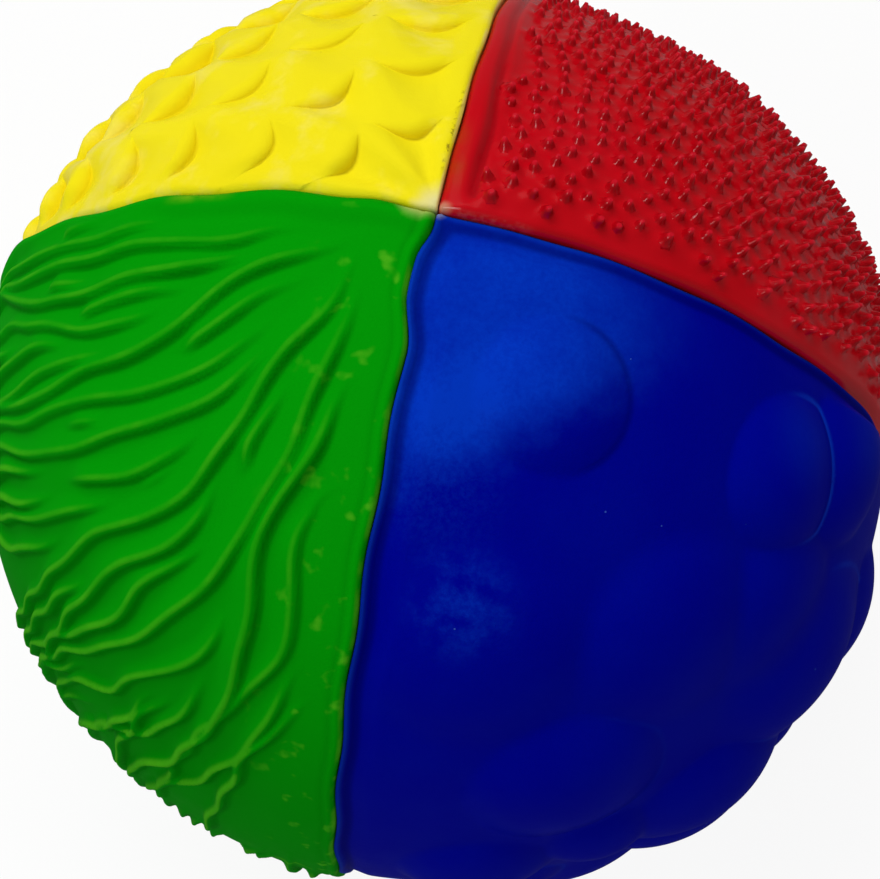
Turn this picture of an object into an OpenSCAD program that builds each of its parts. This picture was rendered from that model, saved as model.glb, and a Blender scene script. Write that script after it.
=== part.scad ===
// Soft rubber sensory ball: four textured panels lap-jointed over a hollow carcass.
// The origin is the centre of the ball and +Z runs through the upper pole, where the panels meet.

/* [Ball] */
// Diameter of the ball at the seams between its panels
ball_d = 100; // [90:1:130]
// Thickness of a panel, from seam level to its inner face
panel_t = 4; // [3.5:0.5:6]
// Width of the fine line left between neighbouring panels
seam_gap = 0.2; // [0.1:0.05:0.4]
// Thickness of the film of glue between bonded pieces
glue_film = 0.15; // [0.1:0.05:0.3]
// Width of the smooth border along each edge of a panel
border_w = 4.5; // [4.5:0.5:8]

/* [Lap joints] */
// Thickness of the flange that a panel tucks under the next one
flange_t = 2; // [1.5:0.1:2.2]
// Reach of the flange under the next panel
flange_w = 3.5; // [2:0.5:4]

/* [Carcass] */
// Wall of the hollow carcass
carcass_t = 2; // [1.6:0.2:4]
// Height of the lip where the two halves of the carcass lap
lip_h = 3; // [2:0.5:6]
// Diameter of the hub that the tips of the panels are glued to
hub_d = 13; // [12.5:0.5:18]
// Bore of the vent through the lower hub
vent_d = 3; // [2:0.5:4]
// Diameter of the head of the vent plug
plug_head_d = 6; // [5.5:0.5:9]
// Thickness of the head of the vent plug
plug_head_t = 1; // [0.6:0.1:1.4]
// Diameter of the bead that holds the vent plug inside the carcass
plug_bead_d = 4.5; // [4.2:0.1:6]

/* [Scales] */
// Width of a scale
scale_w = 9.3; // [7:0.1:14]
// Distance between the rows of scales
scale_row = 7.9; // [6.5:0.1:12]
// Depth of the rounded tip of a scale
scale_sag = 3.2; // [2:0.1:4]
// Height of the step at the tip of a scale
scale_rise = 1.5; // [0.6:0.1:2]

/* [Spikes] */
// Distance between the spikes
spike_pitch = 2.6; // [2.4:0.1:5]
// Height of a spike
spike_h = 1.9; // [0.8:0.1:2.6]

/* [Veins] */
// Number of veins across the panel
vein_n = 16; // [8:1:18]
// Width of a vein at its foot
vein_w = 1.8; // [1:0.1:3]
// Height of a vein
vein_h = 1.1; // [0.5:0.1:1.6]
// Swing of the veins to each side, in degrees
vein_swing = 6; // [0:0.5:6]

/* [Bubbles] */
// Height of the bubbles above seam level
bubble_rise = 1.8; // [1:0.1:3]
// Depth of the floor between the bubbles, below seam level
bubble_floor = 1.2; // [0.4:0.1:1.4]
// Spacing of the points that the bubbles are drawn with
bubble_mesh = 2; // [1.8:0.1:4]

/* [Hidden] */
$fn = 96;

ball_r = ball_d / 2;
panel_in_r = ball_r - panel_t;
flange_r = panel_in_r + flange_t;
recess_r = flange_r + glue_film;
carcass_r = panel_in_r - glue_film;
carcass_in_r = carcass_r - carcass_t;
lip_r = carcass_in_r + (carcass_t - glue_film) / 2;
hub_r = hub_d / 2;
plug_stem_d = vent_d - 2 * glue_film;
// Half the side of a block that takes in the whole ball
reach = ball_d;
// Angle that each of the four panels spans, a quarter of a full turn
quarter = 360 / 4;
degrees_per_mm = 180 / (PI * ball_r);

// Places of the bubbles on the upper half of their panel: longitude, latitude, radius, in degrees
BUBBLES = [[37, 70, 10.5], [19, 49, 11.5], [44, 46, 10], [70, 43, 8.5], [53, 27, 11],
           [77, 24, 7.5], [27, 25, 11], [70, 8, 8], [42, 6, 9.5], [16, 5, 8.5]];

function smooth(t) = let (u = max(0, min(1, t))) u * u * (3 - 2 * u);
function on_ball(lon, lat, r) = r * [cos(lat) * cos(lon), cos(lat) * sin(lon), sin(lat)];

// Share of full relief: none on the smooth border along both edges of a panel, all past it
function relief(lon, lat) =
    let (edge = ball_r * cos(lat) * min(sin(lon), cos(lon)))
    smooth((edge - border_w) / border_w + 0.5);

// Length of a panel's own stretch of a circle of latitude
function row_length(lat) = PI / 2 * ball_r * cos(lat);

// Whole number nearest to x that is even in even rows and odd in odd ones, so that rows stagger
function staggered(x, row) = max(1, 2 * round((x - row % 2) / 2) + row % 2);

// Row of n equal stretches at seam level
function plain_row(lat, n) = [for (i = [0:n]) [quarter * i / n, lat, ball_r]];

// Number of stretches of a row whose middle lies before the given sum of longitudes
function passed(row, sum, strict) =
    len([for (k = [1:1:len(row) - 1])
        let (mid = row[k - 1][0] + row[k][0])
        if (strict ? mid < sum : mid <= sum) k]);

// Triangles between two rows of points, the second one to the north of the first
function stitch(a, b, at_a, at_b) = concat(
    [for (i = [1:1:len(a) - 1])
        let (j = passed(b, a[i - 1][0] + a[i][0], true))
        [at_a + i - 1, at_b + j, at_a + i]],
    [for (j = [1:1:len(b) - 1])
        let (i = passed(a, b[j - 1][0] + b[j][0], false))
        [at_b + j - 1, at_b + j, at_a + i]]);

// Index of the first point of each row, and after the last row
function starts(rows, i = 0, at = 0) =
    i == len(rows) ? [at] : concat([at], starts(rows, i + 1, at + len(rows[i])));

// Solid quarter of the ball under rows of points (longitude, latitude, radius) from pole to pole
module quarter_ball(rows) {
    at = starts(rows);
    last = len(rows) - 1;
    skin = [for (k = [0:last - 1]) each stitch(rows[k], rows[k + 1], at[k], at[k + 1])];
    first_edge = [for (k = [last:-1:0]) at[k]];
    second_edge = [for (k = [0:last]) at[k + 1] - 1];
    polyhedron(points = [for (row = rows) each [for (p = row) on_ball(p[0], p[1], p[2])]],
               faces = concat(skin, [first_edge, second_edge]));
}

function pole(sign) = [[0, sign * quarter, ball_r]];

// Scales: the front of each row is an arc per scale, a high edge with a low edge just beyond it
scale_rows = floor((PI * ball_r - 2 * border_w) / scale_row);
// Straight stretches along the tip of a scale, and the length of the step down beyond it
scale_steps = 8;
scale_riser = 0.5;

function scale_lat(k) = quarter - (border_w + (k + 0.5) * scale_row) * degrees_per_mm;

function scale_front(k, high) =
    let (lat = scale_lat(k),
         n = staggered(row_length(lat) / scale_w, k),
         shift = (high ? 0 : scale_riser) * degrees_per_mm)
    [for (i = [0:n * scale_steps])
        let (lon = quarter * i / (n * scale_steps),
             t = 2 * (i / scale_steps - floor(i / scale_steps)) - 1,
             step = scale_rise * (1 - pow(t, 4)) * relief(lon, lat))
        [lon, lat - scale_sag * degrees_per_mm * t * t + shift, ball_r + (high ? step : 0)]];

module scale_relief() {
    quarter_ball(concat(
        [pole(-1)],
        [for (k = [scale_rows - 1:-1:0]) each [scale_front(k, true), scale_front(k, false)]],
        [pole(1)]));
}

// Spikes: rows of apexes with low points between them, and a plain row between those rows
spike_rows = floor(quarter * 2 / (spike_pitch * degrees_per_mm));
spike_step = quarter * 2 / spike_rows;
spike_seed = 7;
// Most that a spike leans, in spacings, and most that it is short of full height, as a share
spike_lean = 0.22;
spike_short = 0.25;

function spike_row(k) =
    let (lat = k * spike_step - quarter,
         n = max(2, staggered(row_length(lat) / spike_pitch, k)),
         chance = rands(-1, 1, 3 * n, spike_seed + k))
    concat(
        [for (i = [0:n - 1]) each
            let (lon = quarter * (i + 0.5) / n,
                 share = relief(lon, lat),
                 lean = spike_lean * share)
            [[quarter * i / n, lat, ball_r],
             [lon + lean * chance[3 * i] * quarter / n,
              lat + lean * chance[3 * i + 1] * spike_step,
              ball_r + spike_h * share * (1 - spike_short * abs(chance[3 * i + 2]))]]],
        [[quarter, lat, ball_r]]);

function valley_row(k) =
    let (lat = (k + 0.5) * spike_step - quarter)
    plain_row(lat, max(2, staggered(row_length(lat) / spike_pitch, k + 1)));

module spike_relief() {
    quarter_ball(concat(
        [pole(-1), valley_row(0)],
        [for (k = [1:spike_rows - 1]) each [spike_row(k), valley_row(k)]],
        [pole(1)]));
}

// Veins: cords that run from pole to pole, swing together, waver on their own and come and go
// Latitude of the last row of points at each end, and the step between rows
vein_lat = 80;
vein_lat_step = 4;
// Longitude kept clear of veins along each edge, and how far a vein wavers from its own line
vein_edge = 9;
vein_waver = 0.9;
// Waves between pole and pole: how many times as fast as the latitude, and the shift from vein to vein
swing_rate = 3;
swing_shift = -150;
waver_rate = 9;
waver_shift = 70;
fade_rate = 4;
fade_shift = 110;
fade_level = 0.75;
vein_gap = (quarter - 2 * vein_edge - 2 * vein_swing) / (vein_n - 1);
vein_half_max = 0.4 * (vein_gap - vein_waver);

function vein_lon(j, lat) =
    vein_edge + vein_swing + j * vein_gap
    + vein_swing * sin(swing_rate * lat + swing_shift)
    + vein_waver * sin(waver_rate * lat + waver_shift * j);

function vein_crest(j, lat) =
    vein_h * relief(vein_lon(j, lat), lat)
    * smooth(fade_level * (1 + sin(fade_rate * lat + fade_shift * j)));

function vein_row(lat) =
    let (half = min(vein_w / 2 * degrees_per_mm / cos(lat), vein_half_max),
         first = vein_lon(0, lat) - half,
         last = vein_lon(vein_n - 1, lat) + half)
    concat(
        [[0, lat, ball_r], [first / 2, lat, ball_r]],
        [for (j = [0:vein_n - 1]) each
            let (lon = vein_lon(j, lat))
            [[lon - half, lat, ball_r],
             [lon, lat, ball_r + vein_crest(j, lat)],
             [lon + half, lat, ball_r]]],
        [[(last + quarter) / 2, lat, ball_r], [quarter, lat, ball_r]]);

module vein_relief() {
    quarter_ball(concat(
        [pole(-1)],
        [for (lat = [-vein_lat:vein_lat_step:vein_lat]) vein_row(lat)],
        [pole(1)]));
}

// Bubbles: parts of balls that crowd a sunken floor inside a border at seam level
bubble_top_r = ball_r + bubble_rise;
bubble_floor_r = ball_r - bubble_floor;
bubble_rows = round(PI * ball_r / bubble_mesh);

// Radius of the ball that rises to the top radius over a footprint of the given half angle
function bubble_r(half_angle) =
    (pow(bubble_top_r, 2) + pow(bubble_floor_r, 2) - 2 * bubble_top_r * bubble_floor_r * cos(half_angle))
    / (2 * (bubble_top_r - bubble_floor_r * cos(half_angle)));

// Distance from the centre of the ball to the surface of one bubble, in a direction near it
function bubble_surface(b, way) =
    let (r = bubble_r(b[2]),
         centre = bubble_top_r - r,
         along = centre * (way * on_ball(b[0], b[1], 1)),
         left = pow(r, 2) - pow(centre, 2) + pow(along, 2))
    along > 0 && left > 0 ? along + sqrt(left) : 0;

function bubble_level(lon, lat) =
    let (way = on_ball(lon, lat, 1),
         far = on_ball(quarter - lon, -lat, 1),
         top = max([for (b = BUBBLES) each [bubble_surface(b, way), bubble_surface(b, far)]]))
    ball_r + (max(top, bubble_floor_r) - ball_r) * relief(lon, lat);

function bubble_row(k) =
    let (lat = 2 * quarter * k / bubble_rows - quarter,
         n = max(2, staggered(row_length(lat) / bubble_mesh, k)))
    [for (i = [0:n])
        let (lon = quarter * i / n)
        [lon, lat, bubble_level(lon, lat)]];

module bubble_relief() {
    quarter_ball(concat(
        [pole(-1)],
        [for (k = [1:bubble_rows - 1]) bubble_row(k)],
        [pole(1)]));
}

// Flange along the far edge of a panel, under the edge of the next one
module lap_flange() {
    intersection() {
        sphere(flange_r);
        translate([-flange_w, flange_w + seam_gap, -reach])
            cube([flange_w + border_w, reach, 2 * reach]);
    }
}

// Room under the near edge of a panel for the flange of the one before it, and over the hubs
module lap_recess() {
    intersection() {
        sphere(recess_r);
        union() {
            translate([-reach, -reach, -reach]) cube([2 * reach, reach + flange_w + seam_gap, 2 * reach]);
            cylinder(h = 2 * reach, r = hub_r + glue_film, center = true);
        }
    }
}

// Quarter that starts at the given angle, set off by half a seam gap on both sides
module in_quarter(angle) {
    rotate(angle) translate([seam_gap / 2, seam_gap / 2, 0]) children();
}

// Panel with its lap joints, cut from the quarter of the ball that is given
module lapped() {
    difference() {
        union() {
            difference() {
                children();
                lap_recess();
            }
            difference() {
                lap_flange();
                cylinder(h = 2 * reach, r = hub_r + glue_film, center = true);
            }
        }
        sphere(panel_in_r);
    }
}

module red_spike_panel() {
    color([0.75, 0.02, 0.08]) in_quarter(0) lapped() spike_relief();
}

module yellow_scale_panel() {
    color([0.98, 0.91, 0.13]) in_quarter(quarter) lapped() scale_relief();
}

module green_vein_panel() {
    color([0.0, 0.58, 0.02]) in_quarter(2 * quarter) lapped() vein_relief();
}

module blue_bubble_panel() {
    color([0.0, 0.08, 0.6]) in_quarter(3 * quarter) lapped() bubble_relief();
}

// Hub on a pole of the carcass, as high as the flanges around it
module hub() {
    intersection() {
        sphere(flange_r);
        cylinder(h = reach, r = hub_r);
    }
}

module carcass_upper_half() {
    color([0.86, 0.78, 0.6])
        difference() {
            union() {
                intersection() {
                    sphere(carcass_r);
                    translate([-reach, -reach, 0]) cube(2 * reach);
                }
                intersection() {
                    sphere(lip_r);
                    translate([-reach, -reach, -lip_h]) cube(2 * reach);
                }
                hub();
            }
            sphere(carcass_in_r);
        }
}

module carcass_lower_half() {
    color([0.82, 0.74, 0.56])
        difference() {
            union() {
                intersection() {
                    sphere(carcass_r);
                    translate([-reach, -reach, -2 * reach - glue_film]) cube(2 * reach);
                }
                mirror([0, 0, 1]) hub();
            }
            sphere(carcass_in_r);
            intersection() {
                sphere(lip_r + glue_film);
                translate([-reach, -reach, -lip_h - glue_film]) cube(2 * reach);
            }
            translate([0, 0, -reach]) cylinder(h = reach, d = vent_d);
            translate([0, 0, -reach - flange_r + plug_head_t + glue_film])
                cylinder(h = reach, d = plug_head_d + 2 * glue_film);
        }
}

// Plug that closes the vent: head in the hub, stem through the wall, bead inside
module vent_plug() {
    stem_h = flange_r - carcass_in_r;
    color([0.35, 0.3, 0.26])
        intersection() {
            sphere(flange_r);
            translate([0, 0, -flange_r]) {
                cylinder(h = plug_head_t, d = plug_head_d);
                cylinder(h = stem_h + plug_bead_d, d = plug_stem_d);
                translate([0, 0, stem_h + glue_film + plug_bead_d / 2]) sphere(d = plug_bead_d);
            }
        }
}

yellow_scale_panel();
red_spike_panel();
green_vein_panel();
blue_bubble_panel();
carcass_upper_half();
carcass_lower_half();
vent_plug();
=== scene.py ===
"""Looks of the sensory ball: four moulded rubber panels over its carcass, and a small studio."""
import math

import bpy
import numpy as np
from bpy.props import FloatProperty, FloatVectorProperty, IntProperty, PointerProperty
from mathutils import Matrix, Vector


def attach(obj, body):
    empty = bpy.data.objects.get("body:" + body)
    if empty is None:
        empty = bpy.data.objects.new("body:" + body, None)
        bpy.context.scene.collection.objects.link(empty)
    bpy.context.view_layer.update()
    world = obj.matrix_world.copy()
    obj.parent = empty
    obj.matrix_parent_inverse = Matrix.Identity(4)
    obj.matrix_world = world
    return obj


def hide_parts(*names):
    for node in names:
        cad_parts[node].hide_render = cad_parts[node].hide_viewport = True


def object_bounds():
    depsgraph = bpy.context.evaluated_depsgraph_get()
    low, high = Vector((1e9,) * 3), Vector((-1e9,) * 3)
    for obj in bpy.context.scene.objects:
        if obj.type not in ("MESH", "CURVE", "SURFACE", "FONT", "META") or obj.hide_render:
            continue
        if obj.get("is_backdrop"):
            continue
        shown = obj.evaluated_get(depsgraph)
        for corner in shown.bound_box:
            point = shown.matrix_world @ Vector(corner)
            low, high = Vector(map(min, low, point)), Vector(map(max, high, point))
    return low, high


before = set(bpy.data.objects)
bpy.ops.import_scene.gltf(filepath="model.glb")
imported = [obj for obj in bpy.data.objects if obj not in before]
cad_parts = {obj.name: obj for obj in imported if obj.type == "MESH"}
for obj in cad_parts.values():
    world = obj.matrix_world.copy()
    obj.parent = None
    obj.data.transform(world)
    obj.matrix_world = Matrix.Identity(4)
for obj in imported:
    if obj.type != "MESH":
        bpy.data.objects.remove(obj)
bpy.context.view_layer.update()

bl_info = {
    "name": "Sensory ball",
    "version": (1, 0, 0),
    "blender": (4, 5, 0),
    "location": "View3D > Sidebar > Sensory ball",
    "description": "Soft rubber ball with scales, spikes, veins and bubbles on its four quarters",
    "category": "Object",
}

MM = 0.001
QUARTER = 90.0
# Turn of each panel about the upright axis, in degrees
RED_AT, YELLOW_AT, GREEN_AT, BLUE_AT = 0, 90, 180, 270
# Place where the panels meet, in millimetres
POLE = (0.3, 0.0, 50.0)
WHITE = (1.0, 1.0, 1.0)


def length(label, words, default):
    """A size in metres that is given here in millimetres."""
    return FloatProperty(name=label, description=words, default=default * MM, unit="LENGTH", precision=5)


def tint(label, words, default):
    return FloatVectorProperty(name=label, description=words, default=default, size=3, subtype="COLOR",
                               min=0.0, max=1.0)


class BallSizes(bpy.types.PropertyGroup):
    """Sizes that all panels have in common."""
    ball_r: length("Ball radius", "Radius at the seams between the panels", 50)
    panel_in_r: length("Inner radius", "Inner face of the panels", 46)
    flange_r: length("Flange radius", "Outer face of the flange under the next panel", 48)
    recess_r: length("Recess radius", "Room over the flange of the panel before", 48.15)
    flange_w: length("Flange reach", "Reach of the flange under the next panel", 3.5)
    hub_r: length("Hub radius", "Room for the hub of the carcass at each pole", 6.65)
    seam_gap: length("Seam gap", "Fine line between neighbouring panels", 0.08)
    border_w: length("Border", "Smooth border along the edges of a panel", 4.5)
    grain: length("Grain", "Unevenness that the mould leaves on the rubber", 0.05)
    grain_size: length("Grain size", "Size of the waves of that unevenness", 7)
    seed: IntProperty(name="Seed", description="Start of all chance in the relief", default=7)


class ScaleLooks(bpy.types.PropertyGroup):
    """Yellow panel with overlapping scales."""
    width: length("Scale width", "Width of a scale", 9.3)
    row: length("Row", "Distance between the rows of scales", 7.9)
    sag: length("Sag", "Depth of the rounded tip of a scale", 3.4)
    level: length("Level", "Height of the scales above the seams", 0.35)
    step: length("Step", "Height of the step at the tip of a scale", 1.05)
    riser: length("Riser", "Length of the rounded end of a scale", 1.25)
    border: length("Border", "Smooth border along the red edge of the panel", 2.4)
    paint: tint("Yellow", "Yellow paint", (0.88, 0.755, 0.008))
    thin_paint: tint("Cream", "Paint where it is thin over the rubber", (0.88, 0.77, 0.16))
    # Ochre is painted shade under the rounded tips of the scales, and also lies faintly in random patches
    painted_shade: tint("Ochre", "Paint that has gathered under the tips", (0.76, 0.55, 0.002))
    bare_paint: tint("Bare", "Rubber that shows along the green edge and at the pole", (0.8, 0.72, 0.3))
    edge_paint: tint("Edge", "Rubber that shows on the edge over the red border", (0.85, 0.62, 0.2))
    crumb_paint: tint("Crumbs", "Dark crumbs along that edge", (0.2, 0.12, 0.01))
    dust_paint: tint("Dust", "Specks of dust", (0.55, 0.4, 0.05))


class SpikeLooks(bpy.types.PropertyGroup):
    """Red panel with pointed spikes."""
    spacing: length("Spacing", "Least distance between two spikes", 1.8)
    height: length("Height", "Height of a spike", 1.35)
    foot: length("Foot", "Radius of a spike where it leaves its foot", 0.88)
    tip: length("Tip", "Radius of the blunt tip of a spike", 0.18)
    swell: length("Swell", "Height of the soft foot of a spike", 0.52)
    reach: length("Reach", "Radius of the soft foot of a spike", 1.5)
    flare: FloatProperty(name="Flare", description="How hollow the flank of a spike is", default=1.4)
    sink: length("Sink", "Depth of a spike below the surface", 0.12)
    sides: IntProperty(name="Sides", description="Sides of a spike", default=7)
    grain: length("Grain", "Unevenness of the glossy field", 0.12)
    grain_size: length("Grain size", "Size of the waves of that unevenness", 3.5)
    paint: tint("Red", "Glossy red paint", (0.52, 0.001, 0.006))
    # Tips: lighter red that is a painted highlight on the tips of the spikes, and also lies in random lighter
    # patches
    tip_highlight_and_patch_paint: tint("Tips", "Red paint on the tips", (0.6, 0.006, 0.02))
    # Dark red: painted shade in the crease by the yellow border and on the flanks of the spikes
    painted_shade: tint("Dark red", "Red paint in the creases", (0.3, 0.0, 0.003))
    bleed_paint: tint("Bleed", "Red under a film of yellow paint", (0.4, 0.045, 0.001))
    fringe_paint: tint("Fringe", "Worn edge over the blue panel", (0.5, 0.1, 0.1))
    pole_paint: tint("Pole", "Rubber that shows at the pole", (0.7, 0.5, 0.3))


class VeinLooks(bpy.types.PropertyGroup):
    """Green panel with veins that fan out from the pole."""
    height: length("Height", "Height of a vein", 0.7)
    bead: length("Bead", "Height of the bead along its crest", 0.2)
    slope: length("Slope", "Length of the gentle side of a vein", 3.2)
    drop: length("Drop", "Length of the steep side of a vein", 0.5)
    paint: tint("Green", "Green paint", (0.001, 0.295, 0.002))
    # Dark green: painted shade in a line at the steep foot of each vein, and darker towards the bottom of the
    # panel
    painted_shade: tint("Dark green", "Green paint beside the veins", (0.0, 0.2, 0.001))
    # Scuffs: worn paint on the border and edges; on the crests of the veins partly worn paint and partly a
    # painted highlight
    scuff_and_highlight_paint: tint("Scuffs", "Paint that is worn on the veins and the border", (0.09, 0.45, 0.012))
    thin_paint: tint("Thin", "Thin paint on the lip by the yellow edge", (0.28, 0.48, 0.01))
    pole_paint: tint("Pole", "Rubber that shows at the pole", (0.55, 0.62, 0.16))
    dust_paint: tint("Dust", "Specks of dust", (0.6, 0.75, 0.5))


class BubbleLooks(bpy.types.PropertyGroup):
    """Blue panel with large crowded bubbles."""
    floor: length("Floor", "Depth between the bubbles below the seams", 0.6)
    groove: length("Groove", "Depth of the groove along both edges", 0.95)
    paint: tint("Blue", "Blue paint", (0.0, 0.0008, 0.275))
    # Bloom: lighter blue, partly a powdery bloom and partly painted light on the lit side of the first bubble
    # and the lit tops of others, and a painted sheen on some creases
    bloom_and_highlight_paint: tint("Bloom", "Blue paint under a powdery bloom", (0.001, 0.036, 0.5))
    # Dark blue: painted shade in the groove along the edges and in the crease of the first bubble
    crease_shade_paint: tint("Dark blue", "Paint that has gathered in a crease", (0.0, 0.0005, 0.11))
    rim_paint: tint("Rim", "Worn paint on the edges of the panel", (0.003, 0.05, 0.36))
    pole_paint: tint("Pole", "Rubber that shows at the pole", (0.6, 0.65, 0.5))
    dust_paint: tint("Dust", "Specks of dust", (0.05, 0.12, 0.5))


class InsideLooks(bpy.types.PropertyGroup):
    """Carcass and plug inside the ball."""
    rubber: tint("Bare rubber", "Natural rubber of the carcass", (0.7, 0.55, 0.32))
    stain: tint("Aged rubber", "Darker cloudy places of the carcass", (0.52, 0.37, 0.18))
    plug: tint("Plug", "Dark rubber of the vent plug", (0.1, 0.075, 0.055))
    dust: tint("Dust", "Specks of dust", (0.9, 0.85, 0.7))


class StageLooks(bpy.types.PropertyGroup):
    """Camera, lamps and floor."""
    azimuth: FloatProperty(name="Azimuth", description="Side that the camera looks from", subtype="ANGLE",
                           default=math.radians(12.23))
    elevation: FloatProperty(name="Elevation", description="Height that the camera looks from",
                             subtype="ANGLE", default=math.radians(67.54))
    roll: FloatProperty(name="Roll", description="Turn of the camera about its line of sight",
                        subtype="ANGLE", default=math.radians(0.37))
    distance: length("Distance", "From the camera to the middle of the ball", 175)
    lens: FloatProperty(name="Lens", description="Focal length in millimetres", default=62.16)
    key_power: FloatProperty(name="Key lamp", description="Power of the large soft lamp", default=3.5,
                             unit="POWER")
    spark_power: FloatProperty(name="Spark lamp", description="Power of the small lamp that glints on gloss",
                               default=0.4, unit="POWER")
    fill: FloatProperty(name="Fill", description="Strength of the light from all round", default=0.34)
    floor: tint("Floor", "Pale floor", (0.95, 0.95, 0.95))


class BallSettings(bpy.types.PropertyGroup):
    """Everything that can be set on the ball."""
    sizes: PointerProperty(type=BallSizes)
    scales: PointerProperty(type=ScaleLooks)
    spikes: PointerProperty(type=SpikeLooks)
    veins: PointerProperty(type=VeinLooks)
    bubbles: PointerProperty(type=BubbleLooks)
    inside: PointerProperty(type=InsideLooks)
    stage: PointerProperty(type=StageLooks)


# Nodes: one bench per tree, and values that can be reckoned with


class Value:
    """What comes out of a socket. Arithmetic on it adds Math nodes to its tree."""

    def __init__(self, bench, socket):
        self.bench = bench
        self.socket = socket

    def reckon(self, operation, *others, first=None):
        numbers = [self, *others] if first is None else [first, self]
        return self.bench.node("ShaderNodeMath", {"operation": operation}, dict(enumerate(numbers)))

    def __add__(self, other):
        return self.reckon("ADD", other)

    def __sub__(self, other):
        return self.reckon("SUBTRACT", other)

    def __rsub__(self, other):
        return self.reckon("SUBTRACT", first=other)

    def __mul__(self, other):
        return self.reckon("MULTIPLY", other)

    def __truediv__(self, other):
        return self.reckon("DIVIDE", other)

    def __rtruediv__(self, other):
        return self.reckon("DIVIDE", first=other)

    def __pow__(self, other):
        return self.reckon("POWER", other)

    def __lt__(self, other):
        return self.reckon("LESS_THAN", other)

    def __gt__(self, other):
        return self.reckon("GREATER_THAN", other)

    __radd__ = __add__
    __rmul__ = __mul__

    def most(self, other):
        return self.reckon("MAXIMUM", other)

    def also(self, out):
        """Another output of the same node."""
        return Value(self.bench, self.socket.node.outputs[out])

    def ease(self, low, high):
        """Smooth step from 0 at low to 1 at high."""
        return self.bench.node("ShaderNodeMapRange", {"interpolation_type": "SMOOTHSTEP"},
                               {0: self, 1: low, 2: high, 3: 0.0, 4: 1.0})

    def ease_mm(self, low, high):
        """Smooth step between two lengths in millimetres."""
        return self.ease(low * MM, high * MM)


class Bench:
    """Adds nodes to one tree."""

    def __init__(self, tree):
        self.tree = tree

    def feed(self, socket, value):
        if isinstance(value, Value):
            self.tree.links.new(value.socket, socket)
        else:
            socket.default_value = value

    def node(self, kind, settings=None, sockets=None, out=0):
        """Any node: its type, its settings, then the values or links of its sockets."""
        made = self.tree.nodes.new(kind)
        for name, value in (settings or {}).items():
            setattr(made, name, value)
        for name, value in (sockets or {}).items():
            self.feed(made.inputs[name], value)
        return Value(self, made.outputs[out]) if len(made.outputs) else made

    def split(self, vector):
        """The three parts of a vector."""
        parts = self.node("ShaderNodeSeparateXYZ", None, {0: vector})
        return [parts.also(i) for i in range(3)]

    def attribute(self, name):
        """Number that each point of a mesh carries, in a tree for shapes."""
        return self.node("GeometryNodeInputNamedAttribute", {"data_type": "FLOAT"}, {"Name": name})

    def outward(self, place, distance):
        """Offset by a distance away from the middle of the ball."""
        way = self.node("ShaderNodeVectorMath", {"operation": "NORMALIZE"}, {0: place})
        return self.node("ShaderNodeVectorMath", {"operation": "SCALE"}, {0: way, "Scale": distance})


class Finish(Bench):
    """Material with one Principled shader, and the patterns that its colours are made of."""

    def __init__(self, name):
        self.material = bpy.data.materials.new(name)
        self.material.use_nodes = True
        super().__init__(self.material.node_tree)
        self.shader = self.tree.nodes["Principled BSDF"]
        self.place = self.node("ShaderNodeTexCoord", out="Object")
        self.x, self.y, self.z = self.split(self.place)

    def cloud(self, size, detail=3.0, roughness=0.5):
        """Noise with patches of about the given size in millimetres."""
        return self.node("ShaderNodeTexNoise", None, {"Vector": self.place, "Scale": 1 / (size * MM),
                                                      "Detail": detail, "Roughness": roughness})

    def specks(self, spacing, size, share_of_all):
        """Tiny dots of the given size, in some of the cells of the given spacing, in millimetres."""
        cells = self.node("ShaderNodeTexVoronoi", None, {"Vector": self.place, "Scale": 1 / (spacing * MM)})
        chance = self.node("ShaderNodeSeparateColor", None, {0: cells.also(1)})
        return (cells < size / spacing / 2) * (chance < share_of_all)

    def near(self, spot, inner, outer):
        """1 within the inner distance of a spot on the ball, 0 past the outer one, in millimetres."""
        spot = tuple(c * MM for c in spot)
        away = self.node("ShaderNodeVectorMath", {"operation": "DISTANCE"}, {0: self.place, 1: spot}, out=1)
        return 1 - away.ease_mm(inner, outer)

    def grain(self, coarse, fine):
        """Fine grain of the rubber between 0 and 1, from waves of two sizes in millimetres."""
        return self.cloud(coarse) * 0.6 + self.cloud(fine, 2.0) * 0.4

    def along(self, way):
        """How far each place lies along a way from the middle of the ball, in metres."""
        return self.node("ShaderNodeVectorMath", {"operation": "DOT_PRODUCT"}, {0: self.place, 1: way}, out=1)

    def stray(self, reach):
        """How far a seam has strayed towards the equator, where it strays by the given millimetres."""
        return (1 - self.z.reckon("ABSOLUTE").ease_mm(21, 38)) * (reach * MM)

    def own(self, attribute):
        """Number that each point of a piece carries, in a material."""
        return self.node("ShaderNodeAttribute", {"attribute_name": attribute}, out="Fac")

    def mix(self, first, second, amount):
        return self.node("ShaderNodeMix", {"data_type": "RGBA"},
                         {0: amount, 6: colour(first), 7: colour(second)}, out=2)

    def bump(self, height, depth):
        """Fine relief of the given depth in millimetres, from a height between 0 and 1."""
        return self.node("ShaderNodeBump", None, {"Strength": 1.0, "Distance": depth * MM, "Height": height})

    def wear(self, **sockets):
        """Set the shader's sockets and return the finished material."""
        for name, value in sockets.items():
            self.feed(self.shader.inputs[name.replace("_", " ")], value)
        return self.material


def colour(value):
    return value if isinstance(value, Value) else (*value, 1.0)


# Panels: rows of points from the lower to the upper pole, closed to a solid with its lap joints


def smooth(t):
    u = np.clip(t, 0, 1)
    return u * u * (3 - 2 * u)


def ramp(value, start, end):
    """Smooth step from 0 at start to 1 at end."""
    return smooth((value - start) / (end - start))


def bell(away, width):
    """1 in the middle, falling off to both sides."""
    return np.exp(-(away / width) ** 2)


def on_ball(lon, lat, r):
    lon, lat = np.radians(lon), np.radians(lat)
    return np.stack([r * np.cos(lat) * np.cos(lon), r * np.cos(lat) * np.sin(lon), r * np.sin(lat)], axis=-1)


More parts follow.
